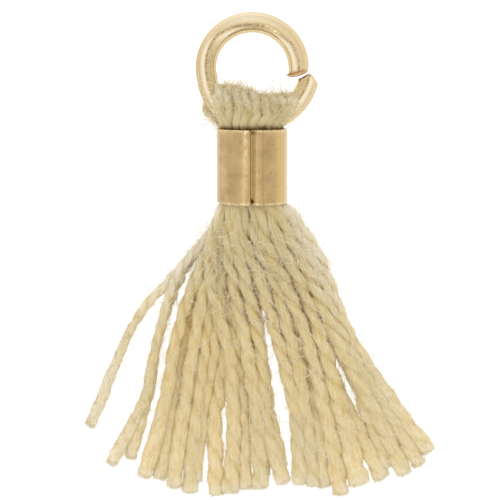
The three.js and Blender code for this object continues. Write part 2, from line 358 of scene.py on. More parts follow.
def sprung_wire(degrees, section):
    """The wire as a grid of (degrees, section): a circle carried round the ring. The upper end's circle is slanted
    by the outward share of each point and drawn out to a burr on its inner side. Towards the lower end the circle is
    pinched in width to a chisel. Both ends' edges are rounded by a quarter circle."""
    outward = np.cos(section)
    near_upper = np.clip(1 - (degrees - upper_end) / slant_reach, 0, 1) ** slant_power
    pinch = 1 - (1 - pinch_to) * np.clip((degrees - pinch_from) / (lower_end - pinch_from), 0, 1)
    pinch = pinch - upper_pinch * near_upper
    rounded = np.clip(np.minimum(degrees - upper_end, lower_end - degrees) / rounded_reach, 0, 1)
    rounded = 1 - end_rounding + end_rounding * np.sqrt(1 - (1 - rounded) ** 2)
    angle = np.radians(degrees[:, None] + slant * near_upper[:, None] * outward)
    at_burr = np.clip(1 - (degrees - upper_end) / burr_length, 0, 1)[:, None]
    burr = burr_reach * at_burr * np.maximum(0, -outward) ** burr_sharpness
    radius = wire_radius_at(degrees)[:, None] + wire_radius * (pinch * rounded)[:, None] * outward - burr
    height = wire_radius * rounded[:, None] * np.sin(section) * np.ones_like(radius)
    return lean(np.stack([radius * np.cos(angle), radius * np.sin(angle), height], -1))


def paint_reflections(degrees, section):
    """How bright, above 0, or dark, below 0, the plate is painted on the grid of (degrees, section). These are painted
    reflections, made of bells and bands of the distance from a thin painted dark line along the wire's upper side.
    Beside the line is a painted highlight band, on the inner side up to the top of the ring and then on the outer side.
    The inner side is painted darker down the left and at the lower end. Outside the line the top of the ring has the
    brightest painted highlight."""
    across = np.arcsin(np.cos(section)) * np.ones((len(degrees), 1))
    line = np.arcsin(np.interp(degrees, *np.transpose(line_at)))[:, None]
    off = wire_radius * (across - line)
    left = band(degrees, *left_stretch)[:, None]
    end = smooth_step(degrees, *end_stretch)[:, None]
    bright = (1 - left - end) * bell(off, *inner_gleam) + (left + end) * bell(off, *outer_gleam)
    width = line_width + line_swell * bell(degrees, *line_widest)[:, None]
    painted_dark = bell(off, 0, width) + left_painted_dark_outside * left * smooth_step(off, *painted_dark_outside)
    painted_dark = painted_dark + (left_painted_dark_inside * left + end_painted_dark_inside * end) * band(-off, *painted_dark_inside)
    top = bell(degrees, *top_stretch)[:, None] * smooth_step(off, *bright_outside)
    upper_side = np.sin(section) > 0
    return ((gleam_strength * bright + top_strength * top - np.minimum(painted_dark, 1)) * upper_side)[..., None]


# Steps round the ring are finer at its two ends.
near_upper_end = upper_end + burr_length * np.linspace(0, 1, 12) ** 2
round_ring = np.linspace(upper_end + 4.5, lower_end - 7.5, 230)
near_lower_end = lower_end - np.linspace(6.5, 0, 24)
degrees = np.concatenate([near_upper_end, round_ring, near_lower_end])
section = -np.linspace(0, 2 * np.pi, wire_sides, endpoint=False)
ring_points = sprung_wire(degrees, section)
snipped = np.clip(1 - np.minimum(degrees - upper_end, lower_end - degrees) / bare_reach, 0, 1)
snipped = np.repeat(snipped[:, None], wire_sides, 1)[..., None]
# Painted reflections on the wire: painted highlight above 0, painted dark line and bands below 0
plate = paint_reflections(degrees, section)

# Pale gold plate on drawn brass wire: a bright mirror with fine drawing marks, with painted reflections on it (a
# painted highlight and a painted dark line that is broken into specks), and warmer bare brass at the snips. Marks and
# specks are drawn coarser than real ones, so that they show.
wire_gold = new_material("pale_gold_plated_wire")
place = add_node(wire_gold, "ShaderNodeTexCoord").outputs["Object"]
bare = add_node(wire_gold, "ShaderNodeAttribute", attribute_name="snipped").outputs["Fac"]
plate_tone = add_node(wire_gold, "ShaderNodeAttribute", attribute_name="plate").outputs["Fac"]
marks = add_node(
    wire_gold, "ShaderNodeTexNoise", {"Scale": 1 / (0.35 * MM), "Detail": 4, "Roughness": 0.6}, {"Vector": place}
)
tone = add_node(
    wire_gold,
    "ShaderNodeMix",
    {COLOUR_0: linear("#d0b88c"), COLOUR_1: linear("#e0cca4")},
    {SHARE: marks.outputs["Fac"]},
    data_type="RGBA",
)
specks = add_node(wire_gold, "ShaderNodeTexNoise", {"Scale": 1 / (0.12 * MM), "Detail": 1}, {"Vector": place})
broken = add_node(
    wire_gold,
    "ShaderNodeMapRange",
    {"From Min": 0.38, "From Max": 0.58, "To Min": 0.35},
    {"Value": specks.outputs["Fac"]},
)
gleam = add_node(wire_gold, "ShaderNodeMapRange", {}, {"Value": plate_tone})
dark = add_node(wire_gold, "ShaderNodeMapRange", {"From Min": 0, "From Max": -1}, {"Value": plate_tone})
dark_line = add_node(
    wire_gold, "ShaderNodeMath", {}, {0: dark.outputs["Result"], 1: broken.outputs["Result"]}, operation="MULTIPLY"
)
# Laid over that tone in turn: the painted highlight, the painted dark reflection line and bare brass
wire_layers = [(gleam.outputs["Result"], "#fbf0d6"), (dark_line.outputs["Value"], "#80683c"), (bare, "#b98d5e")]
for share, colour in wire_layers:
    tone = add_node(
        wire_gold,
        "ShaderNodeMix",
        {COLOUR_1: linear(colour)},
        {SHARE: share, COLOUR_0: tone.outputs[MIXED]},
        data_type="RGBA",
    )
dulled = add_node(wire_gold, "ShaderNodeMapRange", {"To Min": 0.08, "To Max": 0.18}, {"Value": marks.outputs["Fac"]})
dented = add_node(
    wire_gold, "ShaderNodeBump", {"Strength": 0.2, "Distance": 0.012 * MM}, {"Height": marks.outputs["Fac"]}
)
wire_shader = add_node(
    wire_gold,
    "ShaderNodeBsdfPrincipled",
    {"Metallic": 1.0, "Specular Tint": linear("#ece2cc")},
    {"Base Color": tone.outputs[MIXED], "Roughness": dulled.outputs["Result"], "Normal": dented.outputs["Normal"]},
)
add_node(wire_gold, "ShaderNodeOutputMaterial", {}, {"Surface": wire_shader.outputs["BSDF"]})
ring_faces = tube_faces(1, len(degrees), wire_sides)
put_piece("jump_ring_wire", ring_points, ring_faces, wire_gold, "ring_metal", "jump_ring", snipped=snipped, plate=plate)


# Skirt. The cut ends of thirteen yarns, two for each yarn. Each yarn is two soft-spun singles plied together, so
# it swells out of the tube's grip, bends under its own stiffness, and lies on the surface or on its neighbours.
seed = np.random.default_rng(7)
strand_steps = 200
yarn_sides = 16
off_floor = 0.002
# The yarn: one turn of its twist, a single's radius and how far it stands off the middle, and the size of the yarn's
# lumps with their reach in sides and steps
loose_pitch, tight_pitch = 2.9, 1.9
single_radius, single_offset = 0.234, 0.085
yarn_lumps, lumps_round, lumps_along = 0.035, 1, 4
# The clefts between its singles: depth, sharpness, the widest, and how much of them is open, wandering in waves
cleft_depth, cleft_sharpness, widest_cleft = 0.1, 10, 0.36
cleft_open, cleft_wander, cleft_waves = 0.5, 0.35, 9
# How many times the slowest wave of a random drift fits along a yarn
slowest_wave = 1.3
# Where the streaks of fibre are looked up: on a rod of this radius, moved along it for each radian of phase
streak_rod, streak_shift = 0.3, 10
# A strand's path: its start inside the tube, its first bend as shares of its length, and how it sways, in waves
root_depth = 1.2
lip_at, shoulder_at = 0.025, 0.08
root_share, shoulder_share = 0.55, 0.45
sway, sway_waves, sways = 0.045, 7, (0.05, 0.3)
# Its height: the swelling below the rim, the settling, and where it lies, alone or on other strands
swell, swell_to = 0.3, 0.3
settled_at, settle_power = 0.75, 1.5
lying_height, layer_height = 0.33, 0.38
sink, sinks = 0.22, (0.55, 0.95)
# Its bulk: slubs, fullness, and how it opens, flattens and loses its twist on the way to its rounded cut end
slub_size, slub_waves = 0.06, 8
plain_bulk, stout_bulk, thin_bulk = 1.1, 1.15, 0.88
opens, thin_opens = (0.3, 0.85), (0.45, 1.0)
flattening, flattens = 0.35, (0.45, 0.95)
untwisting, left_untwisting, untwists = 0.4, 0.65, (0.2, 0.8)
tip_over, tip_reach, tip_least = 0.004, 0.01, 0.08
# A strand's row: where it leaves the tube, sideways and above the axis, where it is sideways at its shoulder, at a
# quarter, half and three quarters of its length and at the hem, its length, and how many strands it lies on
skirt_columns = ("root", "height", "shoulder", "quarter", "half", "late", "hem", "drop", "lift")
front_strands = [
    (-1.3, 0.5, -1.9, -2.2, -1.3, -0.95, -1.2, 16.25, 1),
    (-0.95, 0.85, -1.2, -1.08, -0.27, 0.33, 0.5, 16.0, 1),
    (-0.65, 1.02, -0.85, -0.4, 0.38, 0.72, 1.76, 15.7, 1),
    (-0.3, 0.95, -0.48, 0.38, 1.46, 2.46, 2.74, 15.75, 1),
    (0.05, 0.95, 0.1, 1.08, 2.25, 2.95, 3.35, 15.85, 1),
    (0.4, 1.02, 0.55, 1.67, 3.15, 4.2, 4.97, 16.35, 1),
    (0.75, 0.9, 1.13, 2.38, 3.9, 5.0, 5.95, 15.8, 1),
    (1.05, 0.7, 1.65, 3.0, 4.65, 6.65, 8.35, 15.2, 1),
    (1.3, 0.35, 2.1, 3.4, 4.9, 7.0, 9.25, 14.7, 0.5),
    (1.4, 0.0, 2.42, 3.74, 5.14, 7.18, 9.7, 13.95, 0),
]
left_strands = [
    (-1.4, 0.1, -1.85, -3.42, -6.1, -7.57, -8.97, 12.48, 0),
    (-1.35, 0.3, -1.85, -3.84, -5.06, -5.96, -7.74, 14.65, 0.5),
    (-1.35, -0.2, -1.85, -3.55, -4.95, -5.8, -6.72, 14.3, 0),
    (-1.2, 0.4, -1.8, -2.95, -4.1, -4.84, -6.02, 15.35, 1),
    (-1.1, -0.75, -1.5, -2.6, -3.72, -4.42, -5.15, 15.5, 0),
    (-1.0, 0.5, -1.6, -2.35, -3.18, -3.86, -4.26, 15.95, 1),
    (-0.85, 0.2, -1.5, -2.05, -2.62, -3.1, -3.4, 16.25, 0.5),
    (-0.7, 0.5, -1.5, -1.65, -2.04, -2.7, -3.1, 15.6, 0),
]
under_strands = [
    (-0.6, 0.1, -1.0, -1.15, -1.38, -2.03, -1.95, 16.4, 0),
    (-0.3, 0.6, -0.4, -0.72, -0.82, -0.5, -0.4, 16.05, 0),
    (-0.15, -1.1, -0.1, -0.5, 0.13, 0.45, 0.5, 15.35, 0),
    (0.15, 0.6, 0.15, 0.1, 0.45, 0.8, 1.5, 14.85, 0),
    (0.4, -1.05, 0.6, 0.75, 1.85, 2.7, 3.15, 15.15, 0),
    (0.5, 0.6, 0.85, 1.35, 2.65, 3.55, 4.0, 15.95, 0),
    (0.85, -0.1, 1.4, 2.05, 3.5, 5.36, 7.2, 15.5, 0),
    (0.95, 0.45, 1.75, 2.75, 4.4, 6.14, 7.6, 14.8, 0),
]
# How far a strand opens at its cut end, as a share of its bulk: most alike, two less and one more
splay = 0.5
odd_splays = {left_strands[0]: 0.3, front_strands[2]: 0.3, front_strands[6]: 0.85}


def smooth_path(stations, count):
    """A path through stations. Between two stations it is the cubic that leaves and arrives along the line from
    the station before to the station after, timed by the distances between the stations."""
    stations = np.asarray(stations, float)
    spans = np.linalg.norm(np.diff(stations, axis=0), axis=1)
    times = np.concatenate([[0.0], np.cumsum(spans)])
    slopes = np.gradient(stations, times, axis=0)
    at = np.linspace(0, times[-1], count)
    k = np.clip(np.searchsorted(times, at, side="right") - 1, 0, len(spans) - 1)
    h = spans[k][:, None]
    u = (at - times[k])[:, None] / h
    leaving = (1 + 2 * u) * (1 - u) ** 2 * stations[k] + u * (1 - u) ** 2 * h * slopes[k]
    return leaving + u**2 * (3 - 2 * u) * stations[k + 1] - u**2 * (1 - u) * h * slopes[k + 1]


def unit(vectors):
    """Vectors divided by their lengths."""
    return vectors / np.linalg.norm(vectors, axis=-1, keepdims=True)


def slow_wander(count, size, waves):
    """A smooth random drift: a sum of sine waves of random phase, the kth k times as short and low as the first."""
    t = np.linspace(0, 1, count)[:, None]
    k = np.arange(1, waves + 1)
    return size * np.sum(np.sin(2 * np.pi * (k * t * slowest_wave + seed.random(waves))) / k, axis=1)


def lumps(steps, sides, size):
    """A smooth random field on a grid of (step, side) that closes round the sides: noise, averaged over its
    neighbours along and round the yarn, and scaled so that its spread is size."""
    field = seed.normal(0, 1, (steps, sides))
    field = sum(np.roll(field, shift, axis=1) for shift in range(-lumps_round, lumps_round + 1))
    field = sum(np.roll(field, shift, axis=0) for shift in range(-lumps_along, lumps_along + 1))
    return size * field / field.std()


def plied_yarn(path, across, radius, offset, flat, pitch, phase):
    """A two-ply yarn as a grid of (step, side). Its section is the outline of two overlapping circles, which stand
    off the path by offset and have one radius. The two clefts between them are deepened here and there. The section
    is lumpy, it turns as a left-hand screw, once in each pitch along the path, and flat thins it upwards. The second
    grid holds each point's place in the fibres, which lie along the yarn: two measures round it and one along it.
    The third grid is how deep in an open cleft a point lies."""
    along = unit(np.gradient(path, axis=0))
    across = unit(across - along * np.sum(across * along, axis=1, keepdims=True))
    up = np.cross(along, across)
    distance = np.concatenate([[0], np.cumsum(np.linalg.norm(np.diff(path, axis=0), axis=1))])[:, None]
    side = np.linspace(0, 2 * np.pi, yarn_sides, endpoint=False)
    off_axis = offset[:, None] * np.sin(side)
    reach = offset[:, None] * np.abs(np.cos(side)) + np.sqrt(radius[:, None] ** 2 - off_axis**2)
    open_here = np.clip(cleft_open + slow_wander(len(path), cleft_wander, cleft_waves), 0, 1)
    cleft = np.abs(np.sin(side)) ** cleft_sharpness * (open_here * offset / radius)[:, None] / widest_cleft
    reach = reach * (1 + lumps(len(path), yarn_sides, yarn_lumps)) * (1 - cleft_depth * cleft)
    turn = side + phase - 2 * np.pi * distance / pitch
    wide = (reach * np.cos(turn))[..., None] * across[:, None]
    high = (flat[:, None] * reach * np.sin(turn))[..., None] * up[:, None]
    fibres = [streak_rod * np.cos(turn), streak_rod * np.sin(turn), distance + streak_shift * phase + 0 * turn]
    return path[:, None] + wide + high, np.stack(fibres, -1), cleft[..., None]


def strand_path(strand):
    """A strand's middle: in plan a smooth path through its stations, and in height a fall from its place in the
    tube to where it lies, with a swelling just below the rim where the squeezed yarns spring apart. A strand that
    lies on others sinks between them towards the hem."""
    drop = strand["drop"]
    plan = [
        (strand["root"], root_depth),
        (strand["root"], 0),
        (root_share * strand["root"] + shoulder_share * strand["shoulder"], -lip_at * drop),
        (strand["shoulder"], -shoulder_at * drop),
        (strand["quarter"], -0.25 * drop),
        (strand["half"], -0.5 * drop),
        (strand["late"], -0.75 * drop),
        (strand["hem"], -drop),
    ]
    x, y = smooth_path(plan, strand_steps).T
    fallen = np.maximum(0, -y / drop)
    x = x + slow_wander(strand_steps, sway, sway_waves) * smooth_step(fallen, *sways)
    swollen = 1 + swell * np.sin(np.pi * np.minimum(1, fallen / swell_to))
    settled = 1 - np.maximum(0, 1 - fallen / settled_at) ** settle_power
    rest = lying_height + strand["lift"] * (layer_height - sink * smooth_step(fallen, *sinks))
    z = axis_z + (strand["height"] * swollen) * (1 - settled) + (rest - axis_z) * settled
    return np.stack([axis_x + x, rim_low + y, z], -1), fallen


grown = []
for strand in front_strands + left_strands + under_strands:
    thin = strand in left_strands[:3]
    stout = strand in front_strands[1:8]
    path, fallen = strand_path(dict(zip(skirt_columns, strand)))
    slub = 1 + slow_wander(strand_steps, slub_size, slub_waves)
    bulk = thin_bulk if thin else stout_bulk if stout else plain_bulk
    bulk = bulk + odd_splays.get(strand, splay) * smooth_step(fallen, *(thin_opens if thin else opens))
    tip = np.sqrt(np.clip((1 + tip_over - fallen) / tip_reach, tip_least, 1))
    twist_left = 1 - (left_untwisting if strand in left_strands else untwisting) * smooth_step(fallen, *untwists)
    yarn = plied_yarn(
        path,
        across=np.cross([0, 0, 1], np.gradient(path, axis=0)),
        radius=single_radius * slub * bulk * tip,
        offset=single_offset * twist_left * bulk * tip,
        flat=1 - flattening * smooth_step(fallen, *flattens),
        pitch=tight_pitch if thin else loose_pitch,
        phase=2 * np.pi * seed.random(),
    )
    grown.append(yarn)
skirt_points, skirt_fibres, skirt_cleft = (np.stack(grids) for grids in zip(*grown))
skirt_points[..., 2] = np.maximum(skirt_points[..., 2], off_floor)

# Soft-spun cotton yarn: matt cream with streaks of fibre along it, cloudy patches and a soft nap, and light comes in
# and through it. It has painted shade near the tube, in clefts and where the tube's mouth squeezes it, and painted
# light where it is made paler. Streaks and nap are drawn coarser than single fibres, so that they show.
# Painted shade on the yarn near the tube: where it starts and where it is full, along the skirt
tube_shade_from, tube_shade_full = rim_low - 9, rim_low - 2
yarn_cotton = new_material("soft_spun_cotton_yarn")
place = add_node(yarn_cotton, "ShaderNodeTexCoord").outputs["Object"]
height = add_node(yarn_cotton, "ShaderNodeSeparateXYZ", {}, {"Vector": place}).outputs["Y"]
fibre_run = add_node(yarn_cotton, "ShaderNodeAttribute", attribute_name="fibre_run").outputs["Vector"]
bleached, cleft, squeezed = (
    add_node(yarn_cotton, "ShaderNodeAttribute", attribute_name=kind).outputs["Fac"]
    for kind in ("bleached", "cleft", "squeezed")
)
streaked = add_node(yarn_cotton, "ShaderNodeMapping", {"Scale": (1 / 0.07, 1 / 0.07, 1 / 0.9)}, {"Vector": fibre_run})
streaks = add_node(
    yarn_cotton,
    "ShaderNodeTexNoise",
    {"Scale": 1, "Detail": 3, "Roughness": 0.65},
    {"Vector": streaked.outputs["Vector"]},
)
drawn = add_node(
    yarn_cotton, "ShaderNodeMapRange", {"From Min": 0.36, "From Max": 0.6}, {"Value": streaks.outputs["Fac"]}
)
clouds = add_node(yarn_cotton, "ShaderNodeTexNoise", {"Scale": 1 / (0.7 * MM), "Detail": 2}, {"Vector": place})
cloudy = add_node(
    yarn_cotton,
    "ShaderNodeMapRange",
    {"From Min": 0.4, "From Max": 0.7, "To Max": 0.6},
    {"Value": clouds.outputs["Fac"]},
)
# Painted shade that deepens towards the tube
painted_tube_shade = add_node(
    yarn_cotton, "ShaderNodeMapRange", {"From Min": tube_shade_from * MM, "From Max": tube_shade_full * MM}, {"Value": height}
)
tone = add_node(
    yarn_cotton,
    "ShaderNodeMix",
    {COLOUR_0: linear("#f4d88a"), COLOUR_1: linear("#fff2c8")},
    {SHARE: drawn.outputs["Result"]},
    data_type="RGBA",
)
# Laid over that tone in turn: cloudy patches, painted shade near the tube, painted light, painted shade in clefts and
# painted shade at the tube's mouth
yarn_layers = [
    (cloudy.outputs["Result"], "#fbe9b4", "MIX"),
    (painted_tube_shade.outputs["Result"], "#eeeeec", "MULTIPLY"),
    (bleached, "#fff8e6", "MIX"),
    # Painted shade in the clefts between the singles
    (cleft, "#e9dcb6", "MULTIPLY"),
    (squeezed, "#9c8658", "MULTIPLY"),
]
for share, colour, blend in yarn_layers:
    tone = add_node(
        yarn_cotton,
        "ShaderNodeMix",
        {COLOUR_1: linear(colour)},
        {SHARE: share, COLOUR_0: tone.outputs[MIXED]},
        data_type="RGBA",
        blend_type=blend,
    )
nap = add_node(
    yarn_cotton, "ShaderNodeTexNoise", {"Scale": 1 / (0.14 * MM), "Detail": 3, "Roughness": 0.6}, {"Vector": place}
)
napped = add_node(
    yarn_cotton, "ShaderNodeBump", {"Strength": 0.4, "Distance": 0.05 * MM}, {"Height": nap.outputs["Fac"]}
)
fibrous = add_node(
    yarn_cotton,
    "ShaderNodeBump",
    {"Strength": 0.8, "Distance": 0.05 * MM},
    {"Height": streaks.outputs["Fac"], "Normal": napped.outputs["Normal"]},
)
yarn_shader = add_node(
    yarn_cotton,
    "ShaderNodeBsdfPrincipled",
    {"Roughness": 0.9, "Specular IOR Level": 0.2, "Sheen Weight": 0.3, "Sheen Roughness": 0.5},
    {"Base Color": tone.outputs[MIXED], "Normal": fibrous.outputs["Normal"]},
)
glow = add_node(
    yarn_cotton, "ShaderNodeBsdfTranslucent", {}, {"Color": tone.outputs[MIXED], "Normal": fibrous.outputs["Normal"]}
)
lit_through = add_node(
    yarn_cotton, "ShaderNodeMixShader", {0: 0.28}, {1: yarn_shader.outputs["BSDF"], 2: glow.outputs["BSDF"]}
)
add_node(yarn_cotton, "ShaderNodeOutputMaterial", {}, {"Surface": lit_through.outputs["Shader"]})

# Painted light: the skirt is painted paler on the loose strands at the far left, along both edges below the tube where
# light comes in from the side, at the cut ends and, faintly, all over its lower part.
far_left_pale, far_left_from, far_left_full = 0.9, 5, 8
left_edge_pale, right_edge_pale, edge_band = 1.0, 0.8, (0.65, 1.0)
edge_at_rim, edge_slope = 1.9, 0.57
edge_fade, edge_fades = 0.6, (3, 7)
cut_pale, cut_band = 0.6, (strand_steps - 14, strand_steps - 2)
lower_pale, lower_band = 0.2, (9, 15)
skirt_x = skirt_points[..., :1] - axis_x
below_rim = np.maximum(0, rim_low - skirt_points[..., 1:2])
far_left = far_left_pale * np.clip((-skirt_x - far_left_from) / (far_left_full - far_left_from), 0, 1)
near_edge = smooth_step(np.abs(skirt_x) / (edge_at_rim + edge_slope * below_rim), *edge_band)
lit_edge = np.where(skirt_x < 0, left_edge_pale, right_edge_pale) * near_edge
lit_edge = lit_edge * (1 - edge_fade * smooth_step(below_rim, *edge_fades))
near_cut = cut_pale * smooth_step(np.arange(strand_steps), *cut_band)[:, None, None]
lower_part = lower_pale * smooth_step(below_rim, *lower_band)
skirt_bleached = np.maximum(np.maximum(far_left, lit_edge), np.maximum(near_cut, lower_part))
put_piece(
    "yarn_skirt",
    skirt_points,
    tube_faces(len(grown), strand_steps, yarn_sides),
    yarn_cotton,
    "cotton_yarn",
    "yarn",
    fibre_run=skirt_fibres,
    cleft=skirt_cleft,
    bleached=skirt_bleached,
)


# Head. The same yarns folded over the ring, side by side and on top of each other, so that about nine show. They
# come up the front of the tube, pile up over the wire inside the ring, and go down the back.
loop_steps = 90
loop_radius, loop_offset = 0.245, 0.07
loop_slub, loop_slub_waves = 0.05, 5
# Over the wire, in the ring's own plane: how high a yarn stands off it, how much lower in the under layer, and how far
# from the ring's middle its front and back lie
wrap_height, wrap_layer, wrap_shoulder = 1.0, 0.25, 0.72
front_reach, front_limit = 2.85, 2.2
back_reach, back_limit = 3.0, 2.5
below_wire, top_share = 0.15, 0.6
# At the tube's mouth: the round that the yarns fill, flattened, in the tube and where they bulge out above its rim
mouth_radius, mouth_flat = 1.38, 0.65
bulge_radius, bulge_flat, bulge_wide, bulge_share = 1.5, 0.72, 1.06, 0.9
mouth_layer = 0.3
loop_root, loop_mouth, loop_bulge = rim_high - 1.2, rim_high - 0.14, rim_high + 0.3
# A folded yarn's row: its highest place in the ring's plane, where its front and back cross the wire, where it leaves
# the tube, and 1 if it lies under the others
loop_columns = ("top_x", "top_y", "front_x", "back_x", "mouth", "under")
head_loops = [
    (-1.78, -1.25, -1.72, -2.35, -1.36, 0),
    (-1.35, -1.2, -1.28, -2.0, -1.1, 0),
    (-0.92, -1.24, -0.74, -1.5, -0.75, 0),
    (-0.5, -1.4, -0.3, -0.9, -0.4, 0),
    (0.0, -1.52, 0.22, -0.2, 0.0, 0),
    (0.52, -1.75, 0.8, 0.4, 0.36, 0),
    (1.0, -1.78, 1.27, 1.0, 0.72, 0),
    (1.5, -1.74, 1.74, 1.5, 1.08, 0),
    (1.95, -1.85, 2.12, 1.95, 1.36, 0),
    (-1.2, -1.75, -1.0, -1.7, -0.9, 1),
    (-0.4, -2.0, -0.1, -0.6, -0.2, 1),
    (0.5, -2.1, 0.55, 0.3, 0.3, 1),
    (1.3, -2.1, 1.5, 1.3, 0.9, 1),
]


def loop_path(loop):
    """A folded yarn's middle: a smooth path from inside the tube up its front, over the front of the wire to its
    highest place inside the ring, and down behind the wire into the tube again."""
    top_x, top_y, mouth = loop["top_x"], loop["top_y"], loop["mouth"]
    front_x, back_x = loop["front_x"], loop["back_x"]
    off_wire = wrap_height - wrap_layer * loop["under"]
    front_y = -np.sqrt(front_reach**2 - np.minimum(front_limit, abs(front_x)) ** 2)
    back_y = -np.sqrt(back_reach**2 - np.minimum(back_limit, abs(back_x)) ** 2)
    over = [
        (front_x, front_y - below_wire, off_wire),
        (0.5 * (front_x + top_x), (1 - top_share) * front_y + top_share * top_y, wrap_shoulder * off_wire),
        (top_x, top_y, 0),
        (0.5 * (back_x + top_x), (1 - top_share) * back_y + top_share * top_y, -wrap_shoulder * off_wire),
        (back_x, back_y - below_wire, -off_wire),
    ]
    depth = np.sqrt(mouth_radius**2 - mouth**2) * mouth_flat - mouth_layer * loop["under"]
    bulge = np.sqrt(bulge_radius**2 - (bulge_share * mouth) ** 2) * bulge_flat - mouth_layer * loop["under"]
    out_of_mouth = [
        (axis_x + mouth, loop_root, depth),
        (axis_x + mouth, loop_mouth, depth),
        (axis_x + bulge_wide * mouth, loop_bulge, bulge),
    ]
    up_front = np.array(out_of_mouth) + [0, 0, axis_z]
    down_back = np.array(out_of_mouth[::-1]) * [1, 1, -1] + [0, 0, axis_z]
    return smooth_path(np.concatenate([up_front, lean(np.array(over)), down_back]), loop_steps)


grown = []
for loop in head_loops:
    bulk = 1 + slow_wander(loop_steps, loop_slub, loop_slub_waves)
    yarn = plied_yarn(
        loop_path(dict(zip(loop_columns, loop))),
        across=np.array([1.0, 0, 0]) * np.ones((loop_steps, 1)),
        radius=loop_radius * bulk,
        offset=loop_offset * bulk,
        flat=np.ones(loop_steps),
        pitch=loose_pitch,
        phase=2 * np.pi * seed.random(),
    )
    grown.append(yarn)
head_points, head_fibres, head_cleft = (np.stack(grids) for grids in zip(*grown))

# The head is squeezed at the tube's rim and gets painted shade there. It gets painted light where it passes over the
# wire and at its left and right edges and, being tightly packed, only a share of the painted shade in its clefts.
squeezed_full, squeezed_to = rim_high + 0.04, rim_high + 0.24
plain_pale, wire_pale, wire_band = 0.08, 0.6, (rim_high + 0.9, rim_high + 1.9)
head_edge_pale, head_edge_band = 0.7, (1.5, 2.2)
head_cleft_share = 0.3
head_y = head_points[..., 1:2]
# Painted shade just above the tube's rim, where the rim shades the head
head_squeezed = np.clip((squeezed_to - head_y) / (squeezed_to - squeezed_full), 0, 1)
# Painted light over the wire and at the head's left and right edges
over_the_wire = plain_pale + wire_pale * smooth_step(head_y, *wire_band)
head_edges = head_edge_pale * smooth_step(np.abs(head_points[..., :1] - axis_x), *head_edge_band)
put_piece(
    "yarn_head",
    head_points,
    tube_faces(len(grown), loop_steps, yarn_sides),
    yarn_cotton,
    "cotton_yarn",
    "yarn",
    fibre_run=head_fibres,
    cleft=head_cleft_share * head_cleft,
    squeezed=head_squeezed,
    bleached=np.maximum(over_the_wire, head_edges),
)


# Stray fibres. Soft-spun yarn is hairy: short fibre ends wrap and blur every strand, longer ones curl across its
# neighbours, and each cut end frays into a brush. A hair is a single fibre of cotton, about 0.02 mm thick, and is
# drawn up to twice as thick, so that it shows.
fibre_sides = 3
fibre_steps = 6
# A long hair's turns round its line, the width of its curl and its taper, and for every hair, how far it strays from
# its yarn's way, in degrees, and how lengths are shared out
turns, curl_width, taper = (0.3, 1.4), 0.25, 0.6
stray_spread = 40
length_shares = (1.3, 2.4)
brush_hairs, brush_spread = 320, 0.3
brush_shortest, brush_longest, brush_thickness = 0.1, 0.5, 0.03


def fibres_from(root, leave, length, thickness, curl):
    """Hairs as a grid of (hair, step, side): each leaves its root in a straight line, bends off it by the square of
    the way along, winds round it on a growing circle, and tapers towards its tip."""
    count = len(root)
    u = np.linspace(0, 1, fibre_steps)[:, None]
    bend = seed.normal(0, curl, (count, 1, 3))
    across = unit(np.cross(leave, seed.normal(0, 1, (count, 3))))[:, None]
    beside = np.cross(leave[:, None], across)
    wound = 2 * np.pi * (seed.uniform(*turns, (count, 1, 1)) * u + seed.random((count, 1, 1)))
    curled = curl_width * curl * u * (np.cos(wound) * across + np.sin(wound) * beside)
    middle = root[:, None] + length[:, None, None] * (u * leave[:, None] + u**2 * bend + curled)
    middle[..., 2] = np.maximum(middle[..., 2], thickness)
    angle = np.linspace(0, 2 * np.pi, fibre_sides, endpoint=False)[:, None]
    rim = np.cos(angle) * across[:, :, None] + np.sin(angle) * beside[:, :, None]
    return middle[:, :, None] + thickness / 2 * (1 - taper * u[:, None]) * rim


def spikes_from(root, leave, length, thickness):
    """Short hairs as a grid of (hair, corner): three corners round the root and one at the tip, straight ahead."""
    across = unit(np.cross(leave, seed.normal(0, 1, leave.shape)))
    angle = np.linspace(0, 2 * np.pi, fibre_sides, endpoint=False)[:, None]
    rim = np.cos(angle) * across[:, None] + np.sin(angle) * np.cross(leave, across)[:, None]
    tip = root + length[:, None] * leave
    spikes = np.concatenate([root[:, None] + thickness / 2 * rim, tip[:, None]], axis=1)
    spikes[..., 2] = np.maximum(spikes[..., 2], off_floor)
    return spikes


def spike_faces(count):
    """Corner numbers for spikes that are stored one after another: three sides and the foot of each."""
    corners = np.array([(0, 1, 3), (1, 2, 3), (2, 0, 3), (2, 1, 0)])
    return (corners + 4 * np.arange(count)[:, None, None]).reshape(-1, 3).tolist()


def stray_roots(yarns, count, shortest, longest, steepest):
    """Roots, ways and lengths of hairs from random points of the yarns. Each leaves mostly along its yarn, either
    way, and outwards by up to the steepest angle. Short ones are more common than long ones."""
    host = seed.integers(0, len(yarns), count)
    step = seed.integers(1, yarns.shape[1] - 1, count)
    root = yarns[host, step, seed.integers(0, yarn_sides, count)]
    middle = yarns[host, step].mean(axis=1)
    along = unit(yarns[host, step + 1].mean(axis=1) - middle) * seed.choice([-1, 1], (count, 1))
    outward = unit(root - middle)
    around = np.cross(along, outward)
    tilt = np.radians(seed.uniform(0, steepest, (count, 1)))
    stray = np.radians(seed.normal(0, stray_spread, (count, 1)))
    leave = np.cos(tilt) * (np.cos(stray) * along + np.sin(stray) * around) + np.sin(tilt) * outward
    length = shortest + (longest - shortest) * seed.beta(*length_shares, count)
    return root, leave, length


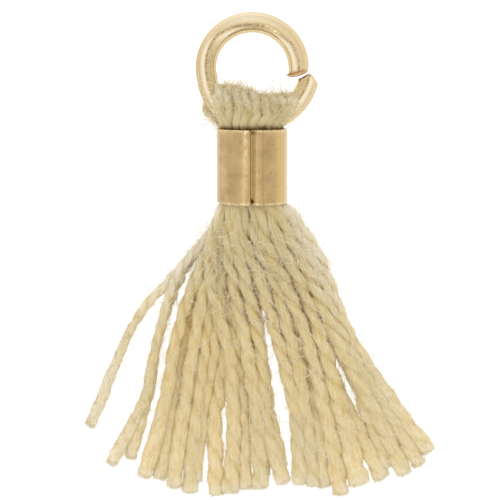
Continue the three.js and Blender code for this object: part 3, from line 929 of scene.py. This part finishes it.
# Cotton fibre: the yarn's cream, mottled and matt, with a little painted shade near the tube, so that it blurs the
# yarn's edges and lies as a pale down on it.
fibre_cotton = new_material("loose_cotton_fibre")
place = add_node(fibre_cotton, "ShaderNodeTexCoord").outputs["Object"]
height = add_node(fibre_cotton, "ShaderNodeSeparateXYZ", {}, {"Vector": place}).outputs["Y"]
mottle = add_node(fibre_cotton, "ShaderNodeTexNoise", {"Scale": 1 / (0.3 * MM)}, {"Vector": place})
mixed = add_node(
    fibre_cotton, "ShaderNodeMapRange", {"From Min": 0.35, "From Max": 0.65}, {"Value": mottle.outputs["Fac"]}
)
tone = add_node(
    fibre_cotton,
    "ShaderNodeMix",
    {COLOUR_0: linear("#f9e4ae"), COLOUR_1: linear("#fff5d4")},
    {SHARE: mixed.outputs["Result"]},
    data_type="RGBA",
)
# Painted shade near the tube, as on the yarn
painted_tube_shade = add_node(
    fibre_cotton,
    "ShaderNodeMapRange",
    {"From Min": tube_shade_from * MM, "From Max": tube_shade_full * MM},
    {"Value": height},
)
tube_shaded = add_node(
    fibre_cotton,
    "ShaderNodeMix",
    {COLOUR_1: linear("#fafafa")},
    {SHARE: painted_tube_shade.outputs["Result"], COLOUR_0: tone.outputs[MIXED]},
    data_type="RGBA",
    blend_type="MULTIPLY",
)
fibre_shader = add_node(
    fibre_cotton,
    "ShaderNodeBsdfPrincipled",
    {"Roughness": 0.7, "Specular IOR Level": 0.2},
    {"Base Color": tube_shaded.outputs[MIXED]},
)
add_node(fibre_cotton, "ShaderNodeOutputMaterial", {}, {"Surface": fibre_shader.outputs["BSDF"]})

# Long cotton hairs: almost white, paler than the yarn, with a faint gloss, so they show on the yarn and fade on a white
# ground.
hair_cotton = new_material("long_cotton_hair")
place = add_node(hair_cotton, "ShaderNodeTexCoord").outputs["Object"]
mottle = add_node(hair_cotton, "ShaderNodeTexNoise", {"Scale": 1 / (0.6 * MM)}, {"Vector": place})
tone = add_node(
    hair_cotton,
    "ShaderNodeMix",
    {COLOUR_0: linear("#feedc2"), COLOUR_1: linear("#fffcee")},
    {SHARE: mottle.outputs["Fac"]},
    data_type="RGBA",
)
hair_shader = add_node(
    hair_cotton,
    "ShaderNodeBsdfPrincipled",
    {"Roughness": 0.5, "Specular IOR Level": 0.3},
    {"Base Color": tone.outputs[MIXED]},
)
add_node(hair_cotton, "ShaderNodeOutputMaterial", {}, {"Surface": hair_shader.outputs["BSDF"]})

# Where hairs grow: stretches of the front, left and under strands and of the folded yarns, counted in their steps
out_of_tube = skirt_points[:, 22:]
front, left, under = out_of_tube[:10], out_of_tube[10:18], out_of_tube[18:]
lower_half = skirt_points[:, 110:196]
hung_front, hung_behind = skirt_points[:10, 28:185], skirt_points[10:, 28:185]
shoulders = skirt_points[:14, 22:64]
over_wire = head_points[:, 22:68]
head_top = head_points[:9, 37:54]
head_left = head_points[:2, 52:80]

# Each cut end's brush: roots spread evenly over the end, and ways that stray from the strand's own
cut_ends = skirt_points[:, -4]
end_way = unit(cut_ends.mean(axis=1) - skirt_points[:, -14].mean(axis=1))
brush = np.repeat(np.arange(len(cut_ends)), brush_hairs)
from_middle = seed.random((len(brush), 1)) ** 0.5
brush_rim = cut_ends[brush, seed.integers(0, yarn_sides, len(brush))]
brush_root = from_middle * brush_rim + (1 - from_middle) * cut_ends[brush].mean(axis=1)
brush_way = unit(end_way[brush] + seed.normal(0, brush_spread, (len(brush), 3)))

# Short hairs: their yarns, how many, the shortest, the longest, the steepest in degrees, and their thickness
fuzz_coats = {
    "fuzz_front": (front, 16000, 0.1, 0.36, 22, 0.022),
    "fuzz_left": (left, 14000, 0.1, 0.38, 24, 0.022),
    "fuzz_under": (under, 10000, 0.1, 0.42, 25, 0.024),
    "fuzz_hem": (lower_half, 28000, 0.12, 0.36, 28, 0.022),
    "fuzz_head": (over_wire, 16000, 0.12, 0.44, 45, 0.022),
}
for name, (yarns, count, shortest, longest, steepest, thickness) in fuzz_coats.items():
    hairs = spikes_from(*stray_roots(yarns, count, shortest, longest, steepest), thickness)
    put_piece(name, hairs, spike_faces(count), fibre_cotton, "cotton_yarn", "yarn")
brush_length = seed.uniform(brush_shortest, brush_longest, len(brush))
hairs = spikes_from(brush_root, brush_way, brush_length, brush_thickness)
put_piece("frayed_ends", hairs, spike_faces(len(brush)), fibre_cotton, "cotton_yarn", "yarn")

# Long hairs: their material, and for each group the same as for short ones, and how much they curl
long_hairs = {
    "long_strays": (
        hair_cotton,
        [
            (hung_front, 1800, 0.5, 1.8, 24, 0.036, 0.6),
            (hung_behind, 1500, 0.5, 1.7, 22, 0.034, 0.6),
            (shoulders, 700, 0.3, 0.9, 36, 0.03, 0.7),
        ],
    ),
    "tangled_strays": (
        fibre_cotton,
        [
            (over_wire, 1700, 0.25, 0.65, 28, 0.038, 0.9),
            (head_top, 900, 0.2, 0.5, 75, 0.022, 0.6),
            (head_left, 600, 0.2, 0.55, 55, 0.026, 0.6),
        ],
    ),
}
for name, (material, groups) in long_hairs.items():
    grown = []
    for yarns, count, shortest, longest, steepest, thickness, curl in groups:
        grown.append(fibres_from(*stray_roots(yarns, count, shortest, longest, steepest), thickness, curl))
    hairs = np.concatenate(grown)
    put_piece(name, hairs, tube_faces(len(hairs), fibre_steps, fibre_sides), material, "cotton_yarn", "yarn")


# Stage. A plain white light table under soft boxes, in a white room that is a little greyer beyond the hem, and a
# camera nearly straight above, tipped towards the ring.
table_half = 400
soft_boxes = [
    {"name": "key_box", "place": (-150, -110, 330), "size": 150, "watts": 0.07},
    {"name": "overhead_box", "place": (0, 120, 420), "size": 500, "watts": 0.06},
]
view_tilt = np.radians(7.5)
view_target = np.array([-0.495, 0.445, 1.0])
view_distance = 88.0
scene = bpy.context.scene

light_table = new_material("white_light_table")
table_shader = add_node(
    light_table,
    "ShaderNodeBsdfPrincipled",
    {"Base Color": linear("#6e6e6c"), "Roughness": 0.9, "Emission Color": linear("#ffffff"), "Emission Strength": 1.0},
)
add_node(light_table, "ShaderNodeOutputMaterial", {}, {"Surface": table_shader.outputs["BSDF"]})
floor_mesh = bpy.data.meshes.new("light_table")
corners = np.array([(-1, -1, 0), (1, -1, 0), (1, 1, 0), (-1, 1, 0)]) * table_half * MM
floor_mesh.from_pydata(corners.tolist(), [], [(0, 1, 2, 3)])
floor_mesh.materials.append(light_table)
floor = bpy.data.objects.new("light_table", floor_mesh)
scene.collection.objects.link(floor)

for box in soft_boxes:
    light = bpy.data.lights.new(box["name"], "AREA")
    light.shape = "SQUARE"
    light.size = box["size"] * MM
    light.energy = box["watts"]
    lamp = bpy.data.objects.new(box["name"], light)
    scene.collection.objects.link(lamp)
    lamp.location = np.array(box["place"]) * MM
    lamp.rotation_mode = "QUATERNION"
    lamp.rotation_quaternion = (-lamp.location).to_track_quat("-Z", "Y")

world = bpy.data.worlds.new("studio_room")
world.use_nodes = True
way = add_node(world, "ShaderNodeTexCoord").outputs["Generated"]
towards_ring = add_node(world, "ShaderNodeSeparateXYZ", {}, {"Vector": way}).outputs["Y"]
beyond_hem = add_node(
    world,
    "ShaderNodeMapRange",
    {"From Min": -0.85, "From Max": -0.6, "To Min": 0.75, "To Max": 1.03},
    {"Value": towards_ring},
)
room = world.node_tree.nodes["Background"]
room.inputs["Color"].default_value = linear("#ffffff")
world.node_tree.links.new(beyond_hem.outputs["Result"], room.inputs["Strength"])
scene.world = world
scene.view_settings.view_transform = "Standard"

camera = bpy.data.objects.new("camera", bpy.data.cameras.new("camera"))
camera.data.lens = 117.6
camera.data.sensor_width = 36
camera.data.clip_start = 0.005
camera.location = (view_target + view_distance * np.array([0, np.sin(view_tilt), np.cos(view_tilt)])) * MM
camera.rotation_euler = (-view_tilt, 0, 0)
scene.collection.objects.link(camera)
scene.camera = camera

bpy.context.view_layer.update()
